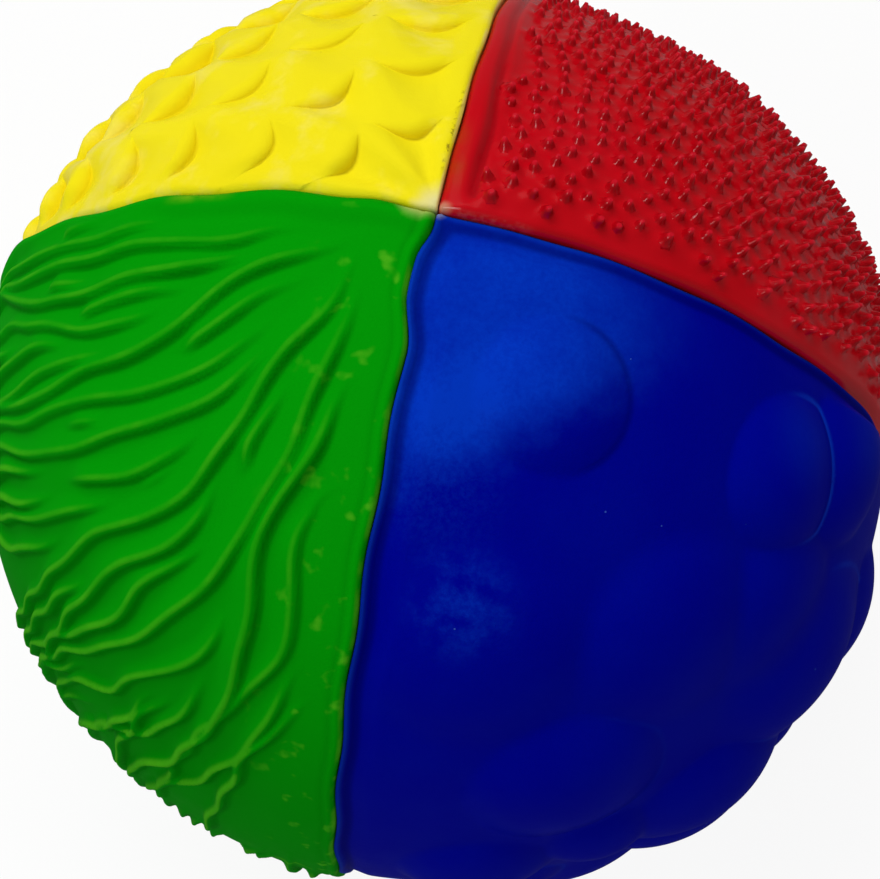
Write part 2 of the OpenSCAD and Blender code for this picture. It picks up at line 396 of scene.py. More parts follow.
def from_edges(lon, lat):
    """Distances in millimetres from the near and the far edge of a panel."""
    r = settings().sizes.ball_r / MM * np.cos(np.radians(lat))
    return r * np.sin(np.radians(lon)), r * np.cos(np.radians(lon))


def rounded(distance, radius):
    """Drop of a rounded edge, in millimetres."""
    d = np.clip(radius - distance, 0, radius)
    return radius - np.sqrt(radius * radius - d * d)


def stitch(low, high, at_low, at_high):
    """Triangles between two rows, given by the longitudes of their points and their first index."""
    mid_low = low[:-1] + low[1:]
    mid_high = high[:-1] + high[1:]
    i = np.arange(len(mid_low))
    up = np.searchsorted(mid_high, mid_low, side="left")
    j = np.arange(len(mid_high))
    down = np.searchsorted(mid_low, mid_high, side="right")
    return np.concatenate([
        np.stack([at_low + i, at_low + i + 1, at_high + up], axis=1),
        np.stack([at_high + j + 1, at_high + j, at_low + down], axis=1)])


# How far the seam at the near edge of each panel strays from its plane in millimetres: all along, more
# towards the equator, near the poles and in waves. Below 0 it strays away from the panel
SEAM_STRAY = {RED_AT: (0.0, 1.6, 0.0, 0.1), YELLOW_AT: (0.0, 0.0, 0.0, 0.1),
              GREEN_AT: (-0.45, -1.9, 0.0, 0.2), BLUE_AT: (0.0, 0.0, -0.85, 0.15)}
# Turns of those waves for each turn of latitude
SEAM_WAVES = 25


def seam_stray(angle, lat):
    """Longitudes by which the near seam of the panel at an angle strays at the given latitudes.

    It is straight at the poles themselves, and the stray comes in over the first millimetres off the axis."""
    off = np.maximum(settings().sizes.ball_r / MM * np.cos(np.radians(lat)), 0.01)
    along, down, polar, waves = SEAM_STRAY[angle % 360]
    stray = along * ramp(off, 1.5, 6) + down * ramp(np.abs(lat), 50, 25)
    stray += polar * ramp(off, 1.5, 5) * (1 - ramp(off, 8, 13))
    stray += waves * np.sin(np.radians(SEAM_WAVES * lat) + angle) * ramp(off, 3, 9)
    return np.degrees(stray / off)


# Places of the points down the wall of a panel, and steps round its inside
WALL = np.array([0.12, 0.35, 0.65])
FLANGE_STEPS = 2
INNER_STEPS = 12
RECESS_STEPS = 3


def inside_of(lat, edge_lon, edge_lat, rises, sizes):
    """Points of one row from the far edge down the wall, round the flange and back to the near edge."""
    hub = sizes.ball_r * math.cos(math.radians(lat)) < sizes.hub_r
    flange_r = (sizes.recess_r if hub else sizes.flange_r) / MM
    inner_r = (sizes.recess_r if hub else sizes.panel_in_r) / MM
    ring = sizes.flange_r * math.cos(math.radians(lat))
    reach = 0.0 if hub else math.degrees(math.asin(sizes.flange_w / ring))
    step = QUARTER / 2 if hub else math.degrees(math.asin((sizes.flange_w + 0.2 * MM) / ring))
    ball_r, recess_r = sizes.ball_r / MM, sizes.recess_r / MM
    rows = []
    for t in WALL:
        rows.append((edge_lon[1] + (QUARTER - edge_lon[1]) * t, edge_lat[1] + (lat - edge_lat[1]) * t,
                     ball_r + (flange_r - ball_r) * t, rises[1] * (1 - t)))
    rows += [(QUARTER + reach * t, lat, flange_r, 0) for t in np.linspace(0, 1, FLANGE_STEPS + 1)]
    rows += [(QUARTER + reach + (step - QUARTER - reach) * t, lat, inner_r, 0)
             for t in np.linspace(0, 1, INNER_STEPS + 1)]
    rows += [(step * (1 - t), lat, recess_r, 0) for t in np.linspace(0, 1, RECESS_STEPS + 1)]
    for t in WALL[::-1]:
        rows.append((edge_lon[0] * (1 - t), edge_lat[0] + (lat - edge_lat[0]) * t,
                     ball_r + (recess_r - ball_r) * t, rises[0] * (1 - t)))
    return rows


def read(mesh, name):
    """Numbers that the points of a mesh carry."""
    values = np.empty(len(mesh.vertices))
    mesh.attributes[name].data.foreach_get("value", values)
    return values


def store(mesh, name, values):
    """Let each point of a mesh carry a number."""
    mesh.attributes.new(name, "FLOAT", "POINT").data.foreach_set("value", values)


def panel_mesh(name, rows, angle):
    """Closed panel at seam level under rows of (longitudes, latitudes, rises in millimetres, tones).

    Its points carry the rise of the relief, its tone from -1 in a hollow to 1 on a crest, their distance
    from the nearest edge, and whether they show."""
    sizes = settings().sizes
    ball_r = sizes.ball_r / MM
    points, faces, strips, at = [], [], [], 0
    firsts, edges = [], []
    for lon, lat, rise, tone in rows:
        firsts.append(at)
        edge = np.minimum(*from_edges(lon, lat))
        strayed = (lon + seam_stray(angle, lat) * smooth(1 - lon / QUARTER)
                   + seam_stray(angle + QUARTER, lat) * smooth(lon / QUARTER))
        edges.append((strayed[0], strayed[-1]))
        points.append(np.stack([strayed, lat, np.full_like(lon, ball_r), rise, tone, edge,
                                np.ones_like(lon)], axis=1))
        at += len(lon)
    for k in range(len(rows) - 1):
        faces.append(stitch(rows[k][0], rows[k + 1][0], firsts[k], firsts[k + 1]))
    for k, (lon, lat, rise, tone) in enumerate(rows):
        inside = inside_of((lat[0] + lat[-1]) / 2, edges[k], (lat[0], lat[-1]), (rise[0], rise[-1]), sizes)
        points.append(np.array([(*p, 0.0, 0.0, 0.0) for p in inside]))
        strips.append(np.concatenate([[firsts[k] + len(lon) - 1], at + np.arange(len(inside)), [firsts[k]]]))
        at += len(inside)
    for low, high in zip(strips, strips[1:]):
        faces.append(np.stack([low[:-1], low[1:], high[1:]], axis=1))
        faces.append(np.stack([low[:-1], high[1:], high[:-1]], axis=1))
    data = np.concatenate(points)
    place = on_ball(data[:, 0], data[:, 1], data[:, 2])
    _, first, where = np.unique(np.round(place, 5), axis=0, return_index=True, return_inverse=True)
    where = where.reshape(-1)
    faces = where[np.concatenate(faces)]
    whole = (faces[:, 0] != faces[:, 1]) & (faces[:, 1] != faces[:, 2]) & (faces[:, 2] != faces[:, 0])
    data, place = data[first], place[first]
    place[:, :2] += sizes.seam_gap / MM / 2
    turn = np.radians(angle)
    flat = np.array([[math.cos(turn), -math.sin(turn)], [math.sin(turn), math.cos(turn)]])
    place[:, :2] = place[:, :2] @ flat.T
    mesh = bpy.data.meshes.new(name)
    mesh.from_pydata((place * MM).tolist(), [], faces[whole].tolist())
    for label, values in (("rise", data[:, 3] * MM), ("tone", data[:, 4]), ("edge", data[:, 5]),
                          ("skin", data[:, 6])):
        store(mesh, label, values)
    mesh.validate()
    return mesh


def even_rows(lower, upper, columns, relief):
    """Even points under a rule for the relief: rows below and above the equator, and columns on it."""
    rows = []
    for lat in [*np.linspace(-QUARTER, 0, lower + 1)[:-1], *np.linspace(0, QUARTER, upper + 1)]:
        ring = math.cos(math.radians(lat))
        n = max(4, round(columns * ring))
        lon = np.linspace(0, QUARTER, n + 1) if ring > 1e-6 else np.zeros(1)
        lat_row = np.full_like(lon, lat)
        rows.append((lon, lat_row, *relief(lon, lat_row)))
    return rows


def new_piece(name, mesh):
    piece = bpy.data.objects.new(name, mesh)
    bpy.context.scene.collection.objects.link(piece)
    return piece


def settings():
    return bpy.context.scene.sensory_ball


def new_tree(name, inputs):
    """Geometry Nodes tree: its bench, and its input values by name."""
    tree = bpy.data.node_groups.new(name, "GeometryNodeTree")
    tree.is_modifier = True
    tree.interface.new_socket("Geometry", in_out="INPUT", socket_type="NodeSocketGeometry")
    for label, kind in inputs.items():
        tree.interface.new_socket(label, in_out="INPUT", socket_type=kind)
    tree.interface.new_socket("Geometry", in_out="OUTPUT", socket_type="NodeSocketGeometry")
    bench = Bench(tree)
    source = tree.nodes.new("NodeGroupInput")
    given = {socket.name: Value(bench, socket) for socket in source.outputs if socket.name}
    return bench, given


def close_tree(bench, shape, finish):
    """Realize Instances and Set Material at the end of a tree."""
    shape = bench.node("GeometryNodeRealizeInstances", None, {0: shape})
    shape = bench.node("GeometryNodeSetMaterial", None, {"Geometry": shape, "Material": finish})
    bench.node("NodeGroupOutput", None, {0: shape})


def run_tree(piece, tree, values):
    """Run a tree on a piece with the given inputs, and keep the result as its plain mesh."""
    modifier = piece.modifiers.new(tree.name, "NODES")
    modifier.node_group = tree
    for item in tree.interface.items_tree:
        if item.item_type == "SOCKET" and item.in_out == "INPUT" and item.name in values:
            modifier[item.identifier] = values[item.name]
    view = bpy.context.evaluated_depsgraph_get()
    made = bpy.data.meshes.new_from_object(piece.evaluated_get(view), depsgraph=view)
    piece.modifiers.remove(modifier)
    old = piece.data
    piece.data = made
    bpy.data.meshes.remove(old)
    made.name = piece.name
    return piece


def raise_tree():
    """Raises a panel's skin by its own relief, a little uneven as a rubber mould leaves it."""
    bench, given = new_tree("Raise relief", {
        "Relief": "NodeSocketFloat", "Grain": "NodeSocketFloat", "Grain size": "NodeSocketFloat",
        "Seed": "NodeSocketInt", "Finish": "NodeSocketMaterial"})
    place = bench.node("GeometryNodeInputPosition")
    waves = bench.node("ShaderNodeTexNoise", {"noise_dimensions": "4D"},
                       {"Vector": place, "W": given["Seed"], "Scale": 1 / given["Grain size"], "Detail": 2.0})
    lift = bench.attribute("rise") * given["Relief"]
    lift = lift + (waves - 0.5) * given["Grain"] * bench.attribute("skin")
    shape = bench.node("GeometryNodeSetPosition", None,
                       {"Geometry": given["Geometry"], "Offset": bench.outward(place, lift)})
    shape = bench.node("GeometryNodeSetShadeSmooth", None, {0: shape})
    close_tree(bench, shape, given["Finish"])
    return bench.tree


def raise_panel(name, rows, angle, finish, grain, grain_size):
    """Make a panel of rows of points and raise its relief."""
    tree = bpy.data.node_groups.get("Raise relief") or raise_tree()
    piece = new_piece(name, panel_mesh(name, rows, angle))
    return run_tree(piece, tree, {"Relief": 1.0, "Grain": grain, "Grain size": grain_size,
                                  "Seed": settings().sizes.seed, "Finish": finish})


def seat(piece, node):
    """Let a finished piece stand for its node of the frame."""
    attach(piece, "root")
    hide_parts(node)


def border(lon, lat, width):
    """Share of full relief: none on the smooth border along both edges of a panel, all past it."""
    near, far = from_edges(lon, lat)
    return smooth((np.minimum(near, far) - width) / width + 0.5)


# Yellow scales


# Places of the rows of points between two fronts of scales, and down the step of a front
SCALE_ROW_STEPS = (0.0, 0.05, 0.12, 0.2, 0.3, 0.4, 0.5, 0.6, 0.7, 0.8, 0.88, 0.94, 0.98, 1.0)
SCALE_DROP_STEPS = (0.2, 0.4, 0.57, 0.7, 0.8, 0.88, 0.94, 0.975)
SCALE_POINTS_MM = 0.36
SCALE_END_MM = 2.0
SCALE_ARC = 0.8
SCALE_GAP_MM = 1.2
# Chance in the sag of a scale, in the place of its tip in millimetres, and in its step
SCALE_CHANCE = (0.15, 0.35, 0.3)
# How far the tips stand off their even places, and droop of the rows towards the far edge in degrees
SCALE_OFF = 0.16
SCALE_DROOP = 2.6
# Share by which the steps are higher away from the poles
SCALE_BOLDER = 0.6
# Rise of the border on the red side, its fall on the green side, and the width of both
SCALE_PROUD_MM, SCALE_LOW_MM, SCALE_EDGE_MM = 0.2, 0.35, 3
# Radii of the rounded near and far edges of the panel
SCALE_EDGES_MM = (0.25, 0.5)


def scale_fronts(looks, sizes):
    """Fronts of the rows of scales, from the upper pole down: latitude, number and chances."""
    ball_r = sizes.ball_r / MM
    degree = 180 / (math.pi * ball_r)
    chance = np.random.default_rng(sizes.seed)
    fronts = []
    count = int((math.pi * ball_r - 2 * sizes.border_w / MM - looks.riser / MM) / (looks.row / MM))
    for k in range(count):
        lat = QUARTER - (sizes.border_w / MM + (k + 0.5) * looks.row / MM + looks.riser / MM) * degree
        wanted = math.pi / 2 * ball_r * math.cos(math.radians(lat)) / (looks.width / MM)
        n = max(1, 2 * round((wanted - k % 2) / 2) + k % 2)
        fronts.append((lat, n, chance.uniform(-1, 1, (n + 2, 3))))
    return fronts


def front_at(front, lon, looks, sizes):
    """Latitude of a front, height of its step and distance from mid-scale at the given longitudes."""
    lat, n, chance = front
    degree = 180 / (math.pi * sizes.ball_r / MM)
    # The tips stand a little off the even places, and the rows droop towards the far edge
    place = lon / QUARTER * n - SCALE_OFF * n / 4 * np.sin(np.radians(2 * lon))
    i = np.clip(np.floor(place).astype(int), 0, n - 1)
    t = 2 * (place - i) - 1
    near = 1 - np.abs(t) ** 3
    sag = looks.sag / MM * (1 + SCALE_CHANCE[0] * chance[i, 0] * near)
    droop = SCALE_DROOP * ramp(lon, 35, QUARTER) * math.cos(math.radians(lat)) ** 0.5
    tip = lat - (sag * t * t - SCALE_CHANCE[1] * chance[i, 1] * near) * degree - droop * np.sign(lat)
    step = looks.step / MM * np.clip(1 - (t / SCALE_ARC) ** 2, 0, 1)
    step = step * (1 + SCALE_CHANCE[2] * chance[i, 2])
    step = step * (1 + SCALE_BOLDER * ramp(np.abs(lat), 65, 35))
    near, far = from_edges(lon, tip)
    ends = smooth(near / (looks.border / MM) - 0.5) * smooth(far / SCALE_END_MM - 0.5)
    return tip, step * ends, np.abs(t)


def scale_edges(lon, lat):
    """Lie of the border: the edge on the red side is crisp and proud, the one on the green side low."""
    near, far = from_edges(lon, lat)
    rise = SCALE_PROUD_MM * smooth(1 - near / SCALE_EDGE_MM) - SCALE_LOW_MM * smooth(1 - far / SCALE_EDGE_MM)
    return rise - rounded(near, SCALE_EDGES_MM[0]) - rounded(far, SCALE_EDGES_MM[1])


def scale_relief(lon, lat, fronts, looks, sizes):
    """Rise of the scales: each rounds off at its tip, and the next one climbs evenly from under it."""
    degree = 180 / (math.pi * sizes.ball_r / MM)
    riser, row = looks.riser / MM, looks.row / MM
    dent, shade, gap = np.zeros_like(lon), np.zeros_like(lon), np.zeros_like(lon)
    for front in fronts:
        tip, step, side = front_at(front, lon, looks, sizes)
        past = (lat - tip) / degree
        over = rounded(riser - np.clip(past, 0, riser), riser) / riser
        depth = step * over * np.clip(1 - (past - riser) / (row - riser), 0, 1)
        dent = np.maximum(dent, depth)
        shade = np.maximum(shade, step * over * (past < riser * 1.02))
        gap += (side ** 2 - 0.45) * smooth(1 + past / row) * (1 - smooth(past / riser))
    level = looks.level / MM * border(lon, lat, looks.border / MM)
    # Away from the pole the scales stand apart like lumps
    gap = SCALE_GAP_MM * gap * ramp(np.abs(lat), 58, 33) * border(lon, lat, looks.border / MM)
    # The tone is below 0 on the rounded ends of the scales, where the finish paints shade
    return level - dent - gap + scale_edges(lon, lat), -shade / (looks.step / MM)


def scale_rows(looks, sizes):
    """Rows of points that follow the fronts of the scales, so that each step is drawn sharply."""
    ball_r = sizes.ball_r / MM
    degree = 180 / (math.pi * ball_r)
    fronts = scale_fronts(looks, sizes)

    def columns(lat):
        n = max(2, math.ceil(math.pi / 2 * ball_r * math.cos(math.radians(lat)) / SCALE_POINTS_MM))
        return np.linspace(0, QUARTER, n + 1)

    rows = []

    def add(lon, lat):
        rows.append((lon, lat, *scale_relief(lon, lat, fronts, looks, sizes)))

    add(np.zeros(1), np.full(1, -QUARTER))
    south = None
    for front in [*fronts[::-1], None]:
        # From just beyond the front to the south up to this front, then down its step
        lon = columns(0.5 * ((south[0] if south else -QUARTER) + (front[0] if front else QUARTER)))
        low = np.full_like(lon, -QUARTER)
        if south:
            low = front_at(south, lon, looks, sizes)[0] + looks.riser / MM * degree
        high = front_at(front, lon, looks, sizes)[0] if front else np.full_like(lon, QUARTER)
        for t in SCALE_ROW_STEPS:
            if (t > 0 or south) and (t < 1 or front):
                add(lon, low + (high - low) * t)
        if front:
            for t in SCALE_DROP_STEPS:
                add(lon, high + looks.riser / MM * degree * t)
        south = front
    add(np.zeros(1), np.full(1, QUARTER))
    return rows


def yellow_finish(looks):
    f = Finish("yellow_paint")
    thin = f.cloud(8, 4.0, 0.6).ease(0.5, 0.72)
    paint = f.mix(looks.paint, looks.thin_paint, thin * 0.6)
    # Painted shade: ochre on the rounded ends of the scales, where they turn away from the light
    paint = f.mix(paint, looks.painted_shade, (0 - f.own("tone")).ease(0.0, 0.9) * 0.5)
    # Faint random patches of the same ochre
    paint = f.mix(paint, looks.painted_shade, f.cloud(26, 2.0).ease(0.35, 0.7) * 0.1)
    # Rubber shows along the green edge, at the pole and on the edge over the red border
    side = 0 - f.x
    green_at = f.stray(1.9) + side.ease_mm(1.5, 6) * 0.45 * MM
    low_edge = (1 - (f.y - green_at).ease_mm(0.1, 2.2)) * f.cloud(6, 3.0, 0.6).ease(0.48, 0.66)
    pole = f.near(POLE, 0.6, 3.2)
    paint = f.mix(paint, looks.bare_paint, low_edge * 0.45 + pole * 0.75)
    bare = (1 - side.ease_mm(0.1, 0.35)) * f.cloud(6, 2.0).ease(0.3, 0.6)
    paint = f.mix(paint, looks.edge_paint, bare * 0.8)
    stretch = f.y.ease_mm(3, 5.5) * (1 - f.y.ease_mm(11, 15))
    crumbs = f.cloud(1.1, 5.0, 0.75).ease(0.47, 0.6) * side.ease_mm(0.18, 0.35)
    crumbs = crumbs * (1 - side.ease_mm(0.4, 0.65)) * stretch
    paint = f.mix(paint, looks.crumb_paint, crumbs * 0.75)
    dust = f.specks(5, 0.22, 0.25)
    paint = f.mix(paint, looks.dust_paint, dust * 0.6)
    height = f.grain(0.9, 0.25)
    return f.wear(Base_Color=paint, Roughness=0.5 - 0.12 * thin, Normal=f.bump(height, 0.03),
                  Specular_IOR_Level=0.04)


class SENSORY_OT_yellow_scales(bpy.types.Operator):
    """Make the yellow panel with its overlapping scales"""
    bl_idname = "sensory.yellow_scales"
    bl_label = "Yellow scales"

    def execute(self, context):
        looks, sizes = settings().scales, settings().sizes
        piece = raise_panel("yellow_scales", scale_rows(looks, sizes), YELLOW_AT, yellow_finish(looks),
                            sizes.grain, sizes.grain_size)
        seat(piece, "yellow_scale_panel")
        return {"FINISHED"}


# Red spikes


SPIKE_ROWS = (165, 185, 185)
# Points tried for each square of the spacing, steps up a spike, and how hollow its soft foot is
SPIKE_TRIES = 14.0
SPIKE_STEPS = 3
FOOT_HOLLOW = 1.8
# Least and most share of its height and width that a spike has, and most that it leans and turns in radians
SPIKE_HEIGHTS = (0.8, 1.15)
SPIKE_WIDTHS = (0.88, 1.15)
SPIKE_LEAN = (0.14, 0.14, 3.0)
BARE_BY_BLUE_MM = 2.0
BARE_BY_YELLOW_MM = 3.5
# Crease beside the border under the yellow edge: its distance from that edge, and how much further it lies
# at the poles, its depth, its widths towards the edge and the field, and where it comes in by the blue edge
CREASE_AT_MM = 2.1
CREASE_AT_POLE_MM = 0.7
CREASE_MM = 0.5
CREASE_BANK_MM = 0.8
CREASE_STEP_MM = 0.28
CREASE_FROM_MM, CREASE_EASE_MM = 0.8, 1.6
# Share by which the spikes near the yellow edge are lower
LOW_BY_YELLOW = 0.2
# Level of the field by the blue edge, its fall across the panel, and its dip before the yellow edge
FIELD_MM, FIELD_FALL_MM, FIELD_DIP_MM = 0.45, 0.75, 0.5
# Fall of the border under the yellow edge, and its width
UNDER_MM, UNDER_WIDTH_MM = 0.3, 2.2
SPIKE_EDGES_MM = (0.7, 0.3)
# Place where yellow paint has bled over the red: full within the first distance of it, gone past the second
BLEED = ((0.5, 5.5, 49.7), 1.0, 5.5)


def spike_field(lon, lat):
    """Lie of the bare panel: low and crisp under the yellow edge, with a crease beside its border there."""
    near, far = from_edges(lon, lat)
    past = far - CREASE_AT_MM - CREASE_AT_POLE_MM * ramp(np.abs(lat), 60, 80)
    crease = bell(past, np.where(past > 0, CREASE_STEP_MM, CREASE_BANK_MM))
    crease = crease * smooth((near - CREASE_FROM_MM) / CREASE_EASE_MM)
    level = FIELD_MM - FIELD_FALL_MM * ramp(lon, 15, 75) - FIELD_DIP_MM * ramp(lon, 48, 73)
    inner = smooth((np.minimum(near, far - 1.0) - 0.6) / 2.6)
    rise = level * inner - UNDER_MM * smooth(1 - far / UNDER_WIDTH_MM)
    rise = rise - CREASE_MM * crease - rounded(near, SPIKE_EDGES_MM[0]) - rounded(far, SPIKE_EDGES_MM[1])
    # The tone is below 0 in the crease, where the finish paints shade
    return rise, -crease


def spike_tree():
    """Strews spikes over the field of a panel, upright on its surface, and keeps its borders bare."""
    number, whole = "NodeSocketFloat", "NodeSocketInt"
    bench, given = new_tree("Strew spikes", {
        "Spacing": number, "Height": number, "Foot": number, "Tip": number, "Swell": number, "Reach": number,
        "Flare": number, "Sink": number, "Sides": whole, "Seed": whole, "Finish": "NodeSocketMaterial"})
    tall = bench.attribute("tall")
    strewn = bench.node("GeometryNodeDistributePointsOnFaces", {"distribute_method": "POISSON"},
                        {"Mesh": given["Geometry"], "Distance Min": given["Spacing"],
                         "Density Max": SPIKE_TRIES / (given["Spacing"] * given["Spacing"]),
                         "Density Factor": bench.attribute("room"), "Seed": given["Seed"]})
    upright = strewn.also("Rotation")
    place = bench.node("GeometryNodeInputPosition")
    # The panel swells to a soft foot round each point
    away = bench.node("GeometryNodeProximity", {"target_element": "POINTS"}, {0: strewn}, out="Distance")
    swell = (1 - away / given["Reach"]).most(0.0) ** FOOT_HOLLOW * given["Swell"]
    swell = swell * tall * bench.attribute("skin")
    panel = bench.node("GeometryNodeSetPosition", None,
                       {"Geometry": given["Geometry"], "Offset": bench.outward(place, swell)})
    cone = bench.node("GeometryNodeMeshCone", {"fill_type": "NGON"},
                      {"Vertices": given["Sides"], "Side Segments": SPIKE_STEPS, "Radius Top": given["Tip"],
                       "Radius Bottom": given["Foot"], "Depth": given["Height"]})
    cone = bench.node("GeometryNodeSetShadeSmooth", None, {"Geometry": cone, "Selection": cone.also("Side")})
    x, y, z = bench.split(place)
    up = (z / given["Height"]).most(0.0)
    cone = bench.node("GeometryNodeStoreNamedAttribute", {"data_type": "FLOAT", "domain": "POINT"},
                      {"Geometry": cone, "Name": "spike", "Value": up})
    # The straight flank becomes a hollow one
    high = given["Height"] * up ** given["Flare"] - given["Sink"]
    flank = bench.node("ShaderNodeCombineXYZ", None, {0: x, 1: y, 2: high})
    cone = bench.node("GeometryNodeSetPosition", None, {"Geometry": cone, "Position": flank})
    low = bench.node("FunctionNodeRandomValue", {"data_type": "FLOAT"},
                     {2: SPIKE_HEIGHTS[0], 3: SPIKE_HEIGHTS[1], "Seed": given["Seed"]}, out=1)
    wide = bench.node("FunctionNodeRandomValue", {"data_type": "FLOAT"},
                      {2: SPIKE_WIDTHS[0], 3: SPIKE_WIDTHS[1], "Seed": given["Seed"] + 1}, out=1)
    size = bench.node("ShaderNodeCombineXYZ", None, {0: wide, 1: wide, 2: low * tall})
    lean = bench.node("FunctionNodeRandomValue", {"data_type": "FLOAT_VECTOR"},
                      {0: tuple(-most for most in SPIKE_LEAN), 1: SPIKE_LEAN, "Seed": given["Seed"] + 2})
    lean = bench.node("FunctionNodeEulerToRotation", None, {0: lean})
    turned = bench.node("FunctionNodeRotateRotation", {"rotation_space": "LOCAL"}, {0: upright, 1: lean})
    spikes = bench.node("GeometryNodeInstanceOnPoints", None,
                        {"Points": strewn, "Instance": cone, "Rotation": turned, "Scale": size})
    both = bench.node("GeometryNodeJoinGeometry", None, {0: panel})
    bench.tree.links.new(spikes.socket, both.socket.node.inputs[0])
    close_tree(bench, both, given["Finish"])
    return bench.tree


def red_finish(looks):
    f = Finish("red_gloss_paint")
    up = f.own("spike")
    # Painted shade: dark red in the crease beside the yellow border
    paint = f.mix(looks.paint, looks.painted_shade, (0 - f.own("tone")).ease(0.1, 0.9) * 0.75)
    # Painted shade: darker red on the flanks of the spikes
    flank = up.ease(0.25, 0.6) * (1 - up.ease(0.75, 1.0))
    paint = f.mix(paint, looks.painted_shade, flank * 0.6)
    # Painted highlight: lighter red on the tips of the spikes, and lighter random patches all over
    paint = f.mix(paint, looks.tip_highlight_and_patch_paint, up.ease(0.75, 1.0) * 0.8 + f.cloud(14).ease(0.4, 0.75) * 0.2)
    # Yellow has bled over the border near the pole, and rubber shows along the edge over the blue
    bleed = f.near(*BLEED) * (1 - f.x.ease_mm(0.5, 1.9))
    paint = f.mix(paint, looks.bleed_paint, bleed * f.cloud(4).ease(0.3, 0.65) * 0.8)
    fringe = (1 - f.y.ease_mm(0.15, 0.5)) * f.cloud(0.7, 3.0, 0.6).ease(0.4, 0.65)
    along = f.x.ease_mm(0.8, 2) * (1 - f.x.ease_mm(6, 9)) * (f.z > 0)
    paint = f.mix(paint, looks.fringe_paint, fringe * along * 0.35)
    paint = f.mix(paint, looks.pole_paint, f.near(POLE, 0.3, 1.3) * 0.6)
    height = f.cloud(0.6)
    return f.wear(Base_Color=paint, Roughness=0.14 + 0.1 * f.cloud(3),
                  Normal=f.bump(height, 0.015), Specular_IOR_Level=0.3)


class SENSORY_OT_red_spikes(bpy.types.Operator):
    """Make the red panel with its spikes and bare borders"""
    bl_idname = "sensory.red_spikes"
    bl_label = "Red spikes"

    def execute(self, context):
        looks, sizes = settings().spikes, settings().sizes
        finish = red_finish(looks)
        piece = raise_panel("red_spikes", even_rows(*SPIKE_ROWS, spike_field), RED_AT, finish,
                            looks.grain, looks.grain_size)
        mesh = piece.data
        place = np.empty(len(mesh.vertices) * 3)
        mesh.vertices.foreach_get("co", place)
        place = place.reshape(-1, 3) / MM
        room = (read(mesh, "edge") > BARE_BY_BLUE_MM) & (place[:, 0] > BARE_BY_YELLOW_MM)
        room = room & (read(mesh, "skin") > 0.5)
        lon = np.degrees(np.arctan2(place[:, 1], place[:, 0]))
        store(mesh, "room", room.astype(float))
        store(mesh, "tall", 1 - LOW_BY_YELLOW * ramp(lon, 50, 75))
        run_tree(piece, spike_tree(), {
            "Spacing": looks.spacing, "Height": looks.height, "Foot": looks.foot, "Tip": looks.tip,
            "Swell": looks.swell, "Reach": looks.reach, "Flare": looks.flare, "Sink": looks.sink,
            "Sides": looks.sides, "Seed": sizes.seed, "Finish": finish})
        seat(piece, "red_spike_panel")
        return {"FINISHED"}


# Green veins


# Lines that the veins of the upper half follow, as longitude and latitude on their panel
VEINS = (
    ((4, 56), (4, 50), (6, 43)),
    ((9, 64), (7, 47), (6, 38), (6, 30)),
    ((22, 78), (20, 75), (19, 70), (15, 64), (12, 56), (10, 46), (9, 36)),
    ((14, 70), (12, 64)),
    ((15, 54), (13, 42)),
    ((26, 74), (19, 58), (15, 43), (10, 32)),
    ((27, 66), (21, 54), (20, 48)),
    ((29, 63), (27, 57), (17, 40), (15, 35), (15, 31)),
    ((19, 38), (18, 31)),
    ((25, 49), (21, 41), (21, 31)),
    ((31, 56), (28, 50), (26, 44), (25, 31)),
    ((38, 82), (31, 73), (34, 58), (30, 50), (29, 42), (27, 36)),
    ((42, 77), (39, 71), (39, 60)),
    ((48, 72), (44, 60), (34, 48), (30, 37), (27, 30)),
    ((41, 52), (37, 47), (35, 43)),
    ((53, 72), (51, 61), (42, 50), (39, 44), (34, 36), (29, 28)),
    ((54, 60), (53, 56), (41, 40)),
    ((54, 55), (51, 48)),
    ((38, 39), (31, 25)),
    ((42, 39), (37, 29), (34, 25)),
    ((51, 47), (47, 42), (38, 27), (33, 20)),
    ((46, 36), (43, 28), (35, 18)),
    ((48, 82), (57, 77), (57, 70), (59, 61), (59, 54), (50, 40), (48, 31)),
    ((53, 37), (50, 28)),
    ((61, 57), (62, 52), (61, 48), (56, 41), (53, 30)),
    ((66, 51), (60, 41), (59, 36), (52, 23), (48, 14)),
    ((63, 80), (68, 73), (69, 49), (63, 36), (52, 19), (50, 14)),
    ((58, 25), (51, 14)),
    ((72, 46), (71, 38), (65, 31), (61, 24), (57, 20)),
    ((64, 70), (63, 61), (66, 57)),
    ((76, 72), (76, 66), (73, 55), (76, 42), (76, 36), (73, 25), (66, 12)),
    ((67, 30), (61, 15), (56, 6)),
    ((69, 31), (66, 24)),
    ((72, 37), (71, 30), (68, 23), (63, 18)),
    ((84, 62), (80, 60), (79, 57), (81, 42), (77, 35)),
    ((84, 43), (76, 22), (72, 16), (67, 6)),
    ((86, 39), (81, 31), (77, 17)),
    ((59, 19), (52, 6)),
)
# Veins that come down past this latitude run on over the equator and fade there
RUN_ON_FROM = 37
RUN_ON_TO = -8
RUN_ON_DRIFT = 0.2
RUN_ON_FADE = 16
VEIN_END_FADE = 4
VEIN_START_FADE = 10
# Veins wind by this many degrees, less so near the pole, with this length of a wave in degrees
VEIN_WIND = 0.45
VEIN_WIND_LEAST = 0.15
VEIN_WIND_LENGTH = 9
# Veins this many degrees apart wind alike
VEIN_WIND_APART = 21
# Latitudes between which the gentle side of the veins grows from short to full length
VEIN_SPREAD = (15, 60)
# Share of that length near the equator, and at the faded end of a vein
VEIN_SHORT = 0.4
VEIN_FADED = 0.35
